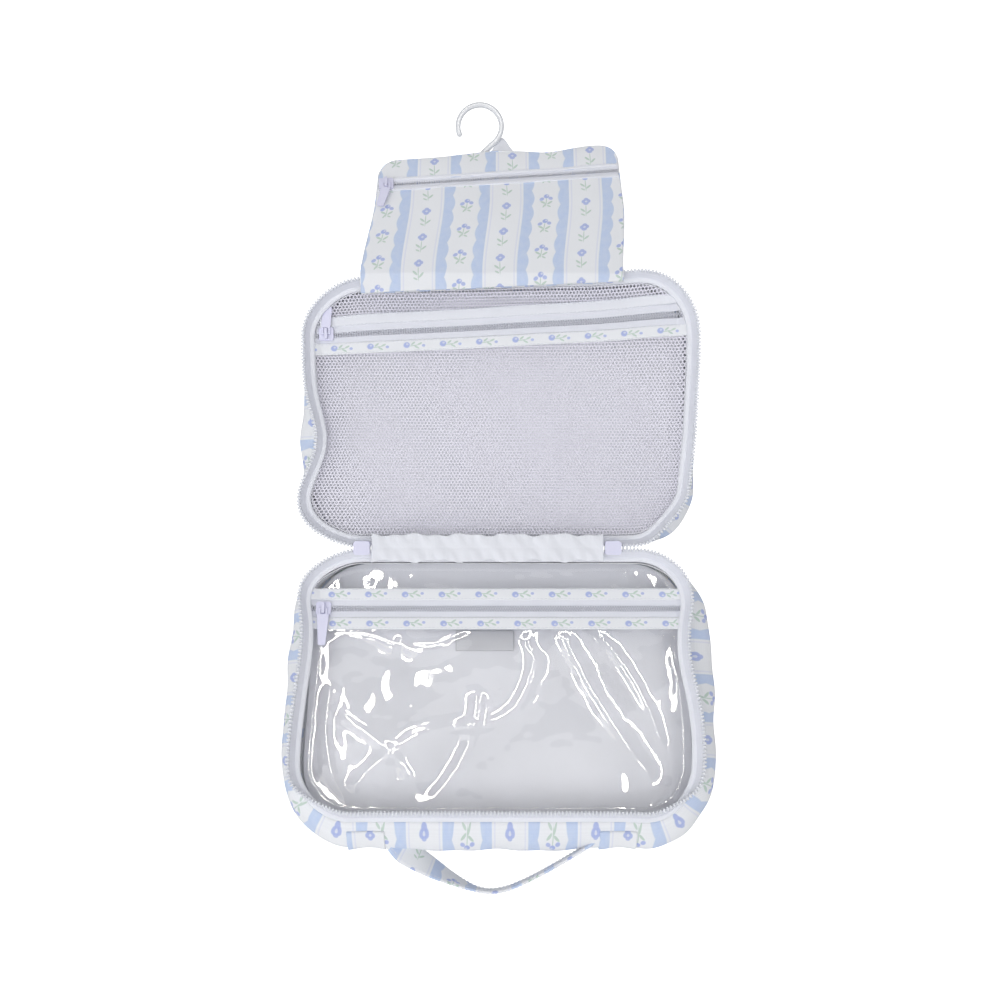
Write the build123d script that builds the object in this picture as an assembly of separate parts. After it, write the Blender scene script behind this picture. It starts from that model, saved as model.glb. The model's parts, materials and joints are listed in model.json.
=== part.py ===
# Hanging toiletry bag, hanging open: a plastic hook, a zipped flap that the bag hangs from,
# and two shallow trays that close face to face like a book. Millimetres.
# The origin is the centre of the hook's bend. +X is to the right, +Y to the back, +Z up.
import os
from math import atan2, cos, degrees, hypot, pi, radians, sin, tan

from build123d import *

os.makedirs("parts", exist_ok=True)

# Driving dimensions
bag_x = 14.0  # the bag's middle stands this far to the right of the hook
rim_y = -40.0  # plane in which the rims of the two halves meet
spine_z = -300.0  # height of the spine that the book folds about
half_width = 133.0
half_height = 183.0  # from the spine to the rim at the far end
half_depth = 38.0
corner_radius = 40.0
spine_gap = 1.2  # each half stops this far short of the spine's axis
spine_strip_front = 0.3
spine_strip_thick = 1.2
spine_strip_reach = 9.0
lower_tilt = 15.0  # the lower half's bottom hangs forward by this angle

# Walls, as insets from the outline and as depths behind the rim plane
wall = 1.5
lining = 0.6
inner = wall + lining
teeth_proud = 0.6
teeth_front = 0.25
teeth_back = 1.9
tape_back = 7.0
gusset_front = 9.5
lining_back_front = 33.4
foam_front = 34.0
panel_front = 36.5

# Zipped covers, set back behind the rims so that the flap packs between them
cover_front = 13.0
cover_back = 13.8
cover_tape_front = 12.4
binding_front = 11.6
coil_front = 11.8
coil_back = 13.4
coil_half = 1.5
tape_half = 8.0
binding_near = 6.0
binding_far = 13.5
cover_panel_gap = 3.0  # each panel stops this far from the zip's line
mesh_zip_s = 146.5  # distance of the mesh's zip from the spine, at its slider
mesh_zip_slope = 2.2  # the mesh's zip climbs to the right by this angle
window_zip_s = 39.5
cover_slider_u = -119.0  # both sliders wait at the left end

# The main zip's sliders stand at the ends of the spine
main_slider_left_u = -93.0
main_slider_right_u = 77.0
main_slider_length = 11.0
main_slider_height = 9.2

# Flap: a thin base strip in front of the upper rim, then the pocket leaning back
flap_hinge_y = rim_y - 0.9
flap_hinge_z = -123.0
flap_strip = 8.0
flap_strip_thick = 1.2
flap_top_y = -5.3
flap_top_z = -22.5
flap_base_width = 177.0
flap_top_width = 168.0
flap_corner = 12.0
flap_zip_t = 72.0  # height of the zip on the panel, at its slider
flap_slope = 4.3  # the zip and the top edge climb to the right by this angle
flap_slider_x = -79.0
flap_hem = 4.0
flap_tape_half = 6.0
flap_panel_gap = 3.0
flap_web_front = 0.8

# Hook
hook_ring = 15.45  # radius of the bend's centre line
hook_wire = 2.0
hook_seat = 13.75  # radius of the flat land inside the bend
pivot_z = -28.0  # axis that the hook folds about
sleeve_radius = 3.4
sleeve_half = 3.0
shank_clearance = 0.05
trunnion_radius = 1.8
trunnion_reach = 9.0
ear_in = 4.4
ear_thick = 3.0
ear_radius = 3.0

# Handle
handle_depth = 19.0  # middle of the gusset
handle_left_u = -75.5
handle_right_u = 66.5
handle_low_u = -5.5
handle_drop = 31.0
handle_width = 20.0
handle_thick = 2.4
handle_axis_s = half_height + 3.4
anchor_length = 22.0
anchor_thick = 1.6

# Worked out
flap_rise = flap_top_z - (flap_hinge_z + flap_strip)
flap_lean = degrees(atan2(flap_top_y - flap_hinge_y, flap_rise))
flap_length = hypot(flap_top_y - flap_hinge_y, flap_rise)

flap_place = Pos(bag_x, flap_hinge_y, flap_hinge_z + flap_strip) * Rot(X=-flap_lean)
upper_place = Pos(bag_x, rim_y, spine_z)
lower_place = Pos(bag_x, rim_y, spine_z) * Rot(X=-lower_tilt)

node_names = []


def save(shape, name, color):
    shape.color = Color(color)
    export_step(shape, f"parts/{name}.step")
    node_names.append(name)


def save_upper(shape, name, color):
    save(upper_place * shape, name, color)


def save_lower(shape, name, color):
    save(lower_place * mirror(shape, about=Plane.XY), name, color)


def save_flap(shape, name, color):
    save(flap_place * shape, name, color)


def block(x, y, z):
    """A box from its (low, high) spans."""
    size = [high - low for low, high in (x, y, z)]
    middle = [(high + low) / 2 for low, high in (x, y, z)]
    return Pos(*middle) * Box(*size)


def joined(solids):
    return Compound(children=list(solids)) if len(solids) > 1 else solids[0]


def slab(sketch, front, back):
    """Thickness from front to back for a sketch in the XZ plane."""
    return extrude(Pos(0, front, 0) * sketch, amount=back - front, dir=(0, 1, 0))


# Halves. In a half's own frame X runs across, Y is the depth behind the rim plane and Z is the
# distance from the spine. The lower half is the same thing mirrored and tilted.


def outline(inset):
    width = 2 * (half_width - inset)
    height = half_height - spine_gap - 2 * inset
    middle = (half_height + spine_gap) / 2
    return Plane.XZ * (Pos(0, middle) * RectangleRounded(width, height, corner_radius - inset))


def ring(outside, inside, front, back):
    return slab(outline(outside), front, back) - slab(outline(inside), front, back)


def without_spine(shape, low_u, high_u):
    return shape - block((low_u, high_u), (-5, gusset_front), (-5, corner_radius / 2))


def tray(save_half, name, print_color):
    """Walls, padding, lining and the main zip of one half."""
    low_u = main_slider_left_u - main_slider_length / 2 - 1
    high_u = main_slider_right_u + main_slider_length / 2 + 1
    save_half(slab(outline(wall), panel_front, half_depth), f"{name}_back_panel", print_color)
    save_half(slab(outline(wall), foam_front, panel_front), f"{name}_back_foam", "Gainsboro")
    save_half(ring(0, wall, gusset_front, half_depth), f"{name}_gusset", print_color)
    save_half(slab(outline(wall), lining_back_front, foam_front), f"{name}_lining_back", "White")
    save_half(ring(wall, inner, gusset_front, lining_back_front), f"{name}_lining_wall", "White")
    save_half(ring(0, inner, tape_back, gusset_front), f"{name}_rim_binding", "WhiteSmoke")
    tape = without_spine(ring(0.4, 1.2, teeth_back, tape_back), low_u, high_u)
    save_half(tape, f"{name}_zip_tape", "White")
    teeth = without_spine(ring(-teeth_proud, inner, teeth_front, teeth_back), low_u, high_u)
    save_half(teeth, f"{name}_zip_teeth", "Snow")
    strip_u = (
        main_slider_left_u + main_slider_length / 2 + 1,
        main_slider_right_u - main_slider_length / 2 - 1,
    )
    strip_back = spine_strip_front + spine_strip_thick
    strip = block(strip_u, (spine_strip_front, tape_back), (spine_gap, spine_gap + inner))
    strip += block(strip_u, (spine_strip_front, strip_back), (spine_gap, spine_strip_reach))
    save_half(strip, f"{name}_spine_strip", "White")


def cover(save_half, name, zip_place, panel_color, binding_color, plain_color):
    """A cover in two panels with a zip across, between tapes and bindings."""
    whole = slab(outline(inner), cover_front, cover_back)
    field = slab(outline(inner), binding_front, coil_back)
    far = 3 * half_width

    def strip(low, high, front=0.0, back=far):
        return zip_place * block((-far, far), (front, back), (low, high))

    save_half(whole & strip(-far, -cover_panel_gap), f"{name}_panel_near_spine", panel_color)
    save_half(whole & strip(cover_panel_gap, far), f"{name}_panel_near_rim", panel_color)
    tapes = []
    for low, high in ((-tape_half, -coil_half), (coil_half, tape_half)):
        tapes.append((field & strip(low, high, cover_tape_front, cover_front)).solid())
    save_half(joined(tapes), f"{name}_zip_tapes", "White")
    coil = strip(-coil_half, coil_half, coil_front, coil_back)
    save_half(field & coil, f"{name}_zip_coil", "WhiteSmoke")
    low_strip = strip(-binding_far, -binding_near, binding_front, cover_tape_front)
    high_strip = strip(binding_near, binding_far, binding_front, cover_tape_front)
    save_half(field & low_strip, f"{name}_binding_near_spine", binding_color)
    save_half(field & high_strip, f"{name}_binding_near_rim", plain_color)


# Sliders and pulls, made at the origin: X is the way the slider travels, -Y the face that the
# pull hangs on, and Y = 0 the surface that the slider runs over.

slider_half_length = 5.0
slider_half_height = 4.5
slider_top = -2.2
arch_half_width = 1.0
arch_inner = 2.4
arch_outer = 3.6
arch_room = 1.8
arch_bar = 0.8
pull_pin = 0.6
pull_pivot = slider_top - arch_room / 2
main_wing_top = 3.0


def arch(top):
    """The bridge over the pull's pin."""
    across = (-arch_half_width, arch_half_width)
    outside = block(across, (top - arch_room - arch_bar, top), (-arch_outer, arch_outer))
    hole = block(across, (top - arch_room, top), (-arch_inner, arch_inner))
    return outside - hole


def slider():
    along = (-slider_half_length, slider_half_length)
    plate = block(along, (slider_top, -0.3), (-slider_half_height, slider_half_height))
    plate = fillet(plate.edges().filter_by(Axis.Y), 1.5)
    channel = block(along, (-0.9, 0), (-coil_half - 0.4, coil_half + 0.4))
    return plate - channel + arch(slider_top)


def pull(length, wide, narrow, lean=0.0):
    """A tapered pull that points along +Z from its pin at the origin, and leans by an angle."""
    leg_in = arch_half_width + 0.6
    leg_out = leg_in + 1.2
    start = arch_outer + 0.6
    solid = Rot(Y=90) * Cylinder(pull_pin, 2 * leg_out)
    for side in (-1, 1):
        span = sorted((side * leg_in, side * leg_out))
        solid += block(span, (-pull_pin, pull_pin), (0, start + 0.8))
    reach = length - start
    corners = [(-wide / 2, 0), (wide / 2, 0), (narrow / 2, reach), (-narrow / 2, reach)]
    tongue = fillet(make_face(Polyline(*corners, close=True)).vertices(), 1.2)
    tongue = slab(Plane.XZ * tongue, -pull_pin, pull_pin)
    return solid + Pos(0, 0, start) * Rot(Y=lean) * tongue


def main_slider():
    """Two wings joined by a post, with the bridge on the outer wing."""
    wing = block(
        (-main_slider_length / 2, main_slider_length / 2),
        (main_wing_top - 1.2, main_wing_top),
        (-main_slider_height / 2, main_slider_height / 2),
    )
    wing = fillet(wing.edges().filter_by(Axis.Y), 2.0)
    post = block((-1.5, 1.5), (1.2 - main_wing_top, main_wing_top - 1.2), (-1.5, 1.5))
    return wing + mirror(wing, about=Plane.XZ) + post + mirror(arch(-main_wing_top), about=Plane.XZ)


# Upper half, with the mesh cover

tray(save_upper, "upper", "LightSteelBlue")
mesh_zip_place = Pos(cover_slider_u, 0, mesh_zip_s) * Rot(Y=-mesh_zip_slope)
cover(save_upper, "mesh", mesh_zip_place, "Lavender", "LightBlue", "GhostWhite")

web_s = flap_hinge_z - spine_z
web = block(
    (-flap_base_width / 2, flap_base_width / 2),
    (flap_web_front, cover_front),
    (web_s - flap_strip_thick / 2, web_s + flap_strip_thick / 2),
)
save_upper(web, "flap_seam_web", "White")

save_upper(mesh_zip_place * Pos(0, cover_tape_front, 0) * slider(), "mesh_slider", "White")
mesh_pull = Rot(X=-3.0) * pull(19.0, 6.5, 5.5, lean=8.0)
save_upper(mesh_zip_place * Pos(0, cover_tape_front + pull_pivot, 0) * mesh_pull, "mesh_pull", "White")

main_pull_depth = main_wing_top + arch_room / 2
for side, slider_u in (("left", main_slider_left_u), ("right", main_slider_right_u)):
    save_upper(Pos(slider_u, 0, 0) * main_slider(), f"main_slider_{side}", "White")
    back_pull = Pos(slider_u, main_pull_depth, 0) * Rot(X=-90) * pull(24.0, 7.0, 5.0)
    save_upper(back_pull, f"main_pull_{side}", "White")

# Lower half, with the clear cover, the care label and the handle's sewn ends

tray(save_lower, "lower", "LightSteelBlue")
window_zip_place = Pos(cover_slider_u, 0, window_zip_s)
cover(save_lower, "window", window_zip_place, "Azure", "LightBlue", "LightBlue")

label = block((-30.0, 10.0), (lining_back_front - 0.4, lining_back_front), (56.0, 69.0))
save_lower(label, "care_label", "WhiteSmoke")

save_lower(window_zip_place * Pos(0, cover_tape_front, 0) * slider(), "window_slider", "White")
window_pull_at = window_zip_place * Pos(0, cover_tape_front + pull_pivot, 0)
save_lower(window_pull_at * pull(25.0, 8.0, 5.0), "window_pull", "White")

anchor_depth = (handle_depth - handle_width / 2, handle_depth + handle_width / 2)
anchor_s = (half_height, half_height + anchor_thick)
anchors = [
    block((handle_left_u - anchor_length, handle_left_u), anchor_depth, anchor_s),
    block((handle_right_u, handle_right_u + anchor_length), anchor_depth, anchor_s),
]
save_lower(joined(anchors), "handle_anchors", "LightSteelBlue")

# Handle: a strap that hangs in a shallow V. Its left run turns its broad face forward and its
# right run shows its edge. It narrows to the axis that it swings about at each seam.

tilt = radians(lower_tilt)
handle_axis_y = rim_y - handle_axis_s * sin(tilt) + handle_depth * cos(tilt)
handle_axis_z = spine_z - handle_axis_s * cos(tilt) - handle_depth * sin(tilt)
left_run = handle_low_u - handle_left_u
right_run = handle_right_u - handle_low_u
# place along its run from the seam (0) to the low point (1), depth in Y, height in Z
left_sections = [(0.0, 3.0, 3.0), (0.3, 4.0, 12.0), (0.65, 4.0, 18.0)]
right_sections = [(0.6, 14.0, handle_thick), (0.3, 8.0, handle_thick), (0.0, 3.0, 3.0)]
sections = [(handle_left_u + left_run * run, run, deep, tall) for run, deep, tall in left_sections]
sections.append((handle_low_u, 1.0, 10.0, 7.0))
sections += [(handle_right_u - right_run * run, run, deep, tall) for run, deep, tall in right_sections]
faces = []
for u, run, deep, tall in sections:
    drop = 1.5 + (handle_drop - 1.5) * run
    faces.append(Pos(u, 0, -drop) * (Plane.YZ * Rectangle(deep, tall)))
strap = loft(faces, ruled=True)
save(Pos(bag_x, handle_axis_y, handle_axis_z) * strap, "handle_strap", "LightSteelBlue")

# Flap. In its own frame X runs across, Z up along the leaning panel from its bottom edge, and
# -Y is the front.


flap_top_rise = flap_top_width / 2 * tan(radians(flap_slope))


def flap_outline(inset):
    """The panel, tapering to its slanted top edge and rounded at the top corners."""
    taper = (flap_base_width - flap_top_width) / 2 / flap_length
    bottom = flap_base_width / 2 - inset
    top = bottom - taper * (flap_length - inset)
    high_left = flap_length - inset - flap_top_rise
    high_right = flap_length - inset + flap_top_rise
    corners = [(-bottom, 0), (bottom, 0), (top, high_right), (-top, high_left)]
    face = make_face(Polyline(*corners, close=True))
    return fillet(face.vertices().sort_by(Axis.Y)[-2:], flap_corner - inset)


def above(height):
    """Everything above a level line."""
    reach = 2 * flap_base_width
    return Pos(0, height + reach / 2) * Rectangle(2 * reach, reach)


def beside_zip(low, high):
    """A sloping strip between two distances from the zip's line."""
    along = Pos(flap_slider_x, flap_zip_t) * Rot(Z=flap_slope)
    return along * Pos(0, (low + high) / 2) * Rectangle(4 * flap_base_width, high - low)


def flap_piece(inset, part, front, back):
    return slab(Plane.XZ * (flap_outline(inset) & part), front, back)


flap_foot = 0.6
far_away = 2 * flap_base_width
save_flap(flap_piece(0, above(flap_foot), 1.2, 2.0), "flap_back_panel", "LightSteelBlue")
save_flap(flap_piece(flap_hem, above(flap_foot + flap_hem), 0.2, 1.2), "flap_stiffener", "Gainsboro")
hem = flap_piece(0, above(flap_foot), -0.9, 1.2)
hem -= flap_piece(flap_hem, above(flap_foot + flap_hem), -1, 1.3)
save_flap(hem, "flap_edge_hem", "WhiteSmoke")
front_low = flap_outline(0) & beside_zip(-far_away, -flap_panel_gap) & above(flap_foot)
save_flap(slab(Plane.XZ * front_low, -1.7, -0.9), "flap_front_lower", "LightSteelBlue")
save_flap(flap_piece(0, beside_zip(flap_panel_gap, far_away), -1.7, -0.9), "flap_front_upper", "LightSteelBlue")
tapes = []
for low, high in ((-flap_tape_half, -coil_half), (coil_half, flap_tape_half)):
    tapes.append(flap_piece(flap_hem, beside_zip(low, high), -0.9, -0.3).solid())
save_flap(joined(tapes), "flap_zip_tapes", "White")
save_flap(flap_piece(flap_hem, beside_zip(-coil_half, coil_half), -1.9, -0.4), "flap_zip_coil", "WhiteSmoke")

strip = block(
    (bag_x - flap_base_width / 2, bag_x + flap_base_width / 2),
    (flap_hinge_y - flap_strip_thick / 2, flap_hinge_y + flap_strip_thick / 2),
    (flap_hinge_z, flap_hinge_z + flap_strip),
)
save(strip, "flap_base_strip", "LightSteelBlue")

flap_face = -1.7
flap_zip_place = Pos(flap_slider_x, flap_face, flap_zip_t) * Rot(Y=-flap_slope)
save_flap(flap_zip_place * slider(), "flap_slider", "White")
flap_pull = Rot(Y=180) * pull(20.0, 6.0, 5.0, lean=18.0)
save_flap(flap_zip_place * Pos(0, pull_pivot, 0) * flap_pull, "flap_pull", "White")

# Fabric tab on the flap's back, notched round the hook's sleeve, with a peak beside the hook.
# The hook's folding axis, in the flap's frame:
lean = radians(flap_lean)
pivot_back = -flap_hinge_y * cos(lean) - (pivot_z - flap_hinge_z - flap_strip) * sin(lean)
pivot_up = -flap_hinge_y * sin(lean) + (pivot_z - flap_hinge_z - flap_strip) * cos(lean)
tab_face = 2.8
tab_foot = 60.0
tab_points = [
    (-16.0, tab_foot),
    (-16.0, flap_length - 3.0),
    (-4.2, flap_length - 3.0),
    (-4.2, pivot_up - 7.0),
    (4.2, pivot_up - 7.0),
    (8.0, flap_length - 1.0),
    (15.0, flap_length + 13.0),
    (26.0, flap_length + 3.5),
    (26.0, tab_foot),
]
tab = Plane.XZ * make_face(Polyline(*tab_points, close=True))
save_flap(Pos(-bag_x, 0, 0) * slab(tab, 2.0, tab_face), "hook_tab", "WhiteSmoke")

# Bracket: two ears on a foot, which carry the sleeve's trunnions
foot_out = 13.0
foot_back = tab_face + 1.0
foot_low = pivot_up - 14.0
foot_high = pivot_up - 6.5
bracket = block((-foot_out, foot_out), (tab_face, foot_back), (foot_low, foot_high))
for side in (-1, 1):
    span = sorted((side * ear_in, side * (ear_in + ear_thick)))
    middle = side * (ear_in + ear_thick / 2)
    bracket += block(span, (tab_face, pivot_back), (pivot_up - ear_radius, pivot_up + ear_radius))
    bracket += block(span, (tab_face, foot_back + 2.0), (foot_low, pivot_up))
    bracket += Pos(middle, pivot_back, pivot_up) * Rot(Y=90) * Cylinder(ear_radius, ear_thick)
hole_radius = trunnion_radius + shank_clearance
hole = Pos(0, pivot_back, pivot_up) * Rot(Y=90) * Cylinder(hole_radius, 4 * foot_out)
save_flap(Pos(-bag_x, 0, 0) * (bracket - hole), "hook_bracket", "White")

# Swivel sleeve and hook

sleeve = Pos(0, 0, pivot_z) * Cylinder(sleeve_radius, 2 * sleeve_half)
sleeve += Pos(0, 0, pivot_z) * Rot(Y=90) * Cylinder(trunnion_radius, 2 * trunnion_reach)
collar_radius = hook_wire + 0.6
collar_height = 1.6
bore = Pos(0, 0, pivot_z) * Cylinder(hook_wire + shank_clearance, 4 * sleeve_half)
groove = Pos(0, 0, pivot_z) * Cylinder(collar_radius + shank_clearance, collar_height + 2 * shank_clearance)
save(sleeve - bore - groove, "swivel_sleeve", "White")

bend_radius = 4.0
corner_z = -21.3
leave = -90.0 + degrees(pi / 2 - atan2(hook_ring, (corner_z**2 - hook_ring**2) ** 0.5))
tip = 200.5
leave_at = (hook_ring * cos(radians(leave)), hook_ring * sin(radians(leave)))
slant = hypot(leave_at[0], leave_at[1] - corner_z)
toward = (leave_at[0] / slant, (leave_at[1] - corner_z) / slant)
turn = atan2(toward[0], toward[1])
tangent = bend_radius * tan(turn / 2)
bend_from = (toward[0] * tangent, corner_z + toward[1] * tangent)
bend_to = (0.0, corner_z - tangent)
bend_mid = (
    bend_radius - bend_radius * cos(turn / 2),
    bend_to[1] + bend_radius * sin(turn / 2),
)
shank_end = (0.0, pivot_z - sleeve_half + 0.4)
path = Wire(
    [
        Plane.XZ * CenterArc((0, 0), hook_ring, leave, tip - leave),
        Plane.XZ * Line(leave_at, bend_from),
        Plane.XZ * ThreePointArc(bend_from, bend_mid, bend_to),
        Plane.XZ * Line(bend_to, shank_end),
    ]
)
hook = sweep((path ^ 0) * Circle(hook_wire), path=path)
tip_at = (hook_ring * cos(radians(tip)), 0, hook_ring * sin(radians(tip)))
hook += Pos(*tip_at) * Sphere(hook_wire)
hook -= Rot(X=90) * Cylinder(hook_seat, 6 * hook_wire)
hook += Pos(0, 0, pivot_z) * Cylinder(collar_radius, collar_height)
save(hook, "hook", "White")

print(len(node_names), "nodes")
print("flap lean", round(flap_lean, 2), "length", round(flap_length, 1))
print("handle axis", round(handle_axis_y, 2), round(handle_axis_z, 2))
print("hook pivot in the flap", round(pivot_back, 2), round(pivot_up, 2))
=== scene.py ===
import json
import math
import bpy
import numpy as np
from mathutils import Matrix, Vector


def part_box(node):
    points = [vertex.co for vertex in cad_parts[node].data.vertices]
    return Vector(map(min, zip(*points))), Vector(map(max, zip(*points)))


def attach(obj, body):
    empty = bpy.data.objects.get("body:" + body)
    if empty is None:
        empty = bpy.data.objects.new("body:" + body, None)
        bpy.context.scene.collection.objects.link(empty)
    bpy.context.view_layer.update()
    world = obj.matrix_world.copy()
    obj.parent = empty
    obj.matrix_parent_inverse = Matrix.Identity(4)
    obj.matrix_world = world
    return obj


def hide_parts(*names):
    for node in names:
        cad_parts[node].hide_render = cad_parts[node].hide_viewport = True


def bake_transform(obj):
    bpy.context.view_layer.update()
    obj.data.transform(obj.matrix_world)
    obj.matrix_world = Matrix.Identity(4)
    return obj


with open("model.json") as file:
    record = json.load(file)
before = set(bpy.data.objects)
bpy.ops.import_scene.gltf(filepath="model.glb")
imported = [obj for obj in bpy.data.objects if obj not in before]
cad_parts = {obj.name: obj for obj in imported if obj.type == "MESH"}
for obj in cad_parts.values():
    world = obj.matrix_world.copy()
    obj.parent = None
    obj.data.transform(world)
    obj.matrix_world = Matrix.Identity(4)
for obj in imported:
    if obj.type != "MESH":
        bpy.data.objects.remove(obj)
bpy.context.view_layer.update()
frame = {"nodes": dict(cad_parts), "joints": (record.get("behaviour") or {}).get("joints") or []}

# A hanging toiletry bag, open: hook, zipped flap, net-covered half, clear-covered half, handle.
# Shapes are worked out in millimetres and turned to metres as they go into a mesh.
joints = {joint["name"]: joint for joint in frame["joints"]}


def boxMm(node):
    return [np.array(corner) * 1000 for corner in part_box(node)]


# sizes and places, read from the frame
gussetLow, gussetHigh = boxMm("upper_gusset")
spineAt = np.array(joints["book_fold"]["pos_m"]) * 1000
flapHinge = np.array(joints["flap_fold"]["pos_m"]) * 1000
handleAxis = np.array(joints["handle_swing"]["pos_m"]) * 1000
bagX = (gussetLow[0] + gussetHigh[0]) / 2
halfWidth = (gussetHigh[0] - gussetLow[0]) / 2
halfHeight = gussetHigh[2] - spineAt[2]
halfDepth = gussetHigh[1] - spineAt[1]
half = dict(seam=4.6, corner=40.0, spineGap=1.2, lowerTilt=15.0, sliderU=-119.0, zipDepth=12.4,
            meshZip=146.5, meshSlope=2.2, windowZip=39.5)
flap = dict(strip=8.0, lean=21.05, length=99.1, base=177.0, top=168.0, zipAt=72.0, slope=4.3, sliderX=-79.0)
print("frame read: half", round(halfWidth), "x", round(halfHeight), "x", round(halfDepth))

# finishes of the real object, as sRGB
colours = dict(ground="#EBEDF1", stripe="#BFCFEC", flower="#A9B6E4", leaf="#C0D2C8", line="#CDD2EC",
               lining="#F5F6FB", tape="#E4E6EF", trim="#E9EBF2", net="#E4E2EE", tooth="#DCDFE5",
               coil="#D9DBE4",
               enamel="#D6D6EC", plastic="#DCDEE2", label="#D5D6DB", floor="#FFFFFF")


def linear(hexText):
    # sRGB hex to linear: c / 12.92 below 0.04045, else ((c + 0.055) / 1.055) ^ 2.4
    parts = [int(hexText[k:k + 2], 16) / 255 for k in (1, 3, 5)]
    return tuple(c / 12.92 if c <= 0.04045 else ((c + 0.055) / 1.055) ** 2.4 for c in parts) + (1.0,)


def addNode(tree, kind, inputs=None, **settings):
    made = tree.nodes.new("ShaderNode" + kind)
    for name, value in settings.items():
        setattr(made, name, value)
    for socket, value in (inputs or {}).items():
        if isinstance(value, bpy.types.NodeSocket):
            tree.links.new(value, made.inputs[socket])
        else:
            made.inputs[socket].default_value = value
    return made


def newMaterial(name, **shaderInputs):
    material = bpy.data.materials.new(name)
    material.use_nodes = True
    tree = material.node_tree
    shader = tree.nodes["Principled BSDF"]
    for socket, value in shaderInputs.items():
        shader.inputs[socket.replace("_", " ")].default_value = value
    return material, tree, shader


def clothCoords(tree):
    # the piece's own UV map, laid out in metres, scaled to millimetres
    uv = addNode(tree, "UVMap", uv_map="cloth").outputs[0]
    return addNode(tree, "VectorMath", {0: uv, 1: (1000, 1000, 1000)}, operation="MULTIPLY").outputs[0]


def objectCoords(tree):
    coords = addNode(tree, "TexCoord").outputs["Object"]
    return addNode(tree, "VectorMath", {0: coords, 1: (1000, 1000, 1000)}, operation="MULTIPLY").outputs[0]


def addWeave(tree, shader, coords, pitch, depth, soft=0.25):
    # over-and-under threads: two crossed waves, one per thread direction, plus a slow unevenness
    wave = {"Vector": coords, "Scale": 2 * math.pi / 20 / pitch, "Distortion": 0.6}
    warp, weft = (addNode(tree, "TexWave", wave, bands_direction=way).outputs[1] for way in "XY")
    both = addNode(tree, "Math", {0: warp, 1: weft}, operation="MULTIPLY").outputs[0]
    slub = addNode(tree, "TexNoise", {"Vector": coords, "Scale": 0.12, "Detail": 3.0}).outputs[0]
    height = addNode(tree, "Math", {0: slub, 1: soft * 6, 2: both}, operation="MULTIPLY_ADD")
    bump = addNode(tree, "Bump", {"Height": height.outputs[0], "Strength": 0.55, "Distance": depth * 0.001})
    tree.links.new(bump.outputs[0], shader.inputs["Normal"])
    return both


def paintHollowShade(tree, shader, colour, height, darkest):
    # painted shade: the deeper places of a surface are painted a little darker, as shade would fall in them
    shade = addNode(tree, "MapRange", {"Value": height, "To Min": darkest, "To Max": 1.0}).outputs[0]
    final = addNode(tree, "Mix", {0: 1.0, 6: colour, 7: shade}, data_type="RGBA", blend_type="MULTIPLY")
    tree.links.new(final.outputs[2], shader.inputs["Base Color"])


def addMotif(tree, colour, cell, parts):
    # a printed sprig: each petal, leaf or stem is an ellipse,
    # given as x, y, half length, half width, turn, ink and strength
    for x, y, long, short, turn, ink, strength in parts:
        local = addNode(tree, "Mapping", {"Vector": cell, "Location": (x, y, 0), "Rotation": (0, 0, turn),
                                          "Scale": (long, short, 1)}, vector_type="TEXTURE")
        reach = addNode(tree, "VectorMath", {0: local.outputs[0]}, operation="LENGTH").outputs["Value"]
        amount = addNode(tree, "MapRange", {"Value": reach, "From Min": 1.12, "From Max": 0.82,
                                            "To Max": strength}).outputs[0]
        mixed = addNode(tree, "Mix", {0: amount, 6: colour, 7: linear(colours[ink])}, data_type="RGBA")
        colour = mixed.outputs[2]
    return colour


sprig = [(0.0, -1.2, 4.2, 0.34, 1.50, "leaf", 0.9), (-2.3, -1.6, 2.2, 0.75, -0.55, "leaf", 0.95),
         (2.4, -2.2, 2.2, 0.75, 0.60, "leaf", 0.95), (-1.3, -4.4, 1.9, 0.65, 0.95, "leaf", 0.9),
         (1.9, -5.0, 1.6, 0.6, -0.5, "leaf", 0.85), (-3.1, 1.2, 1.7, 1.3, 0.5, "flower", 0.9),
         (3.0, 1.5, 1.6, 1.3, -0.4, "flower", 0.85), (0.2, 3.4, 1.9, 1.7, 0.2, "flower", 1.0),
         (0.9, 3.9, 0.8, 0.7, 0.0, "ground", 0.6)]
roundFlower = [(0.2, -3.0, 5.0, 0.34, 1.62, "leaf", 0.9), (-2.0, -2.6, 2.2, 0.72, -0.7, "leaf", 0.95),
               (2.2, -4.2, 2.2, 0.72, 0.75, "leaf", 0.95), (-1.7, -6.2, 1.7, 0.6, -0.5, "leaf", 0.85),
               (-1.4, 4.6, 1.7, 1.5, 0.4, "flower", 0.9), (1.5, 4.8, 1.7, 1.5, -0.4, "flower", 0.9),
               (0.0, 3.0, 1.9, 1.4, 0.0, "flower", 0.9), (0.1, 6.2, 1.6, 1.3, 0.0, "flower", 0.85),
               (0.1, 4.5, 0.9, 0.8, 0.0, "ground", 0.65)]
bindingSprig = [(-6.0, 0.3, 2.3, 2.0, 0.1, "flower", 0.95), (-5.6, 0.9, 0.9, 0.7, 0.0, "ground", 0.6),
                (-1.2, -0.2, 3.6, 0.35, 0.10, "leaf", 0.9), (-1.6, 1.3, 1.8, 0.65, 0.6, "leaf", 0.95),
                (0.9, -1.4, 1.9, 0.65, -0.5, "leaf", 0.95), (3.0, 0.9, 1.8, 0.65, 0.4, "leaf", 0.9),
                (5.6, -0.4, 1.2, 0.95, 0.0, "flower", 0.8)]
stripePrint = dict(period=55.0, scallopAt=9.9, scallopDeep=1.7, scallopPitch=13.0, straightAt=15.8,
                   rowPitch=21.0, sprigRow=14.2, flowerRow=6.5)


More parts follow.
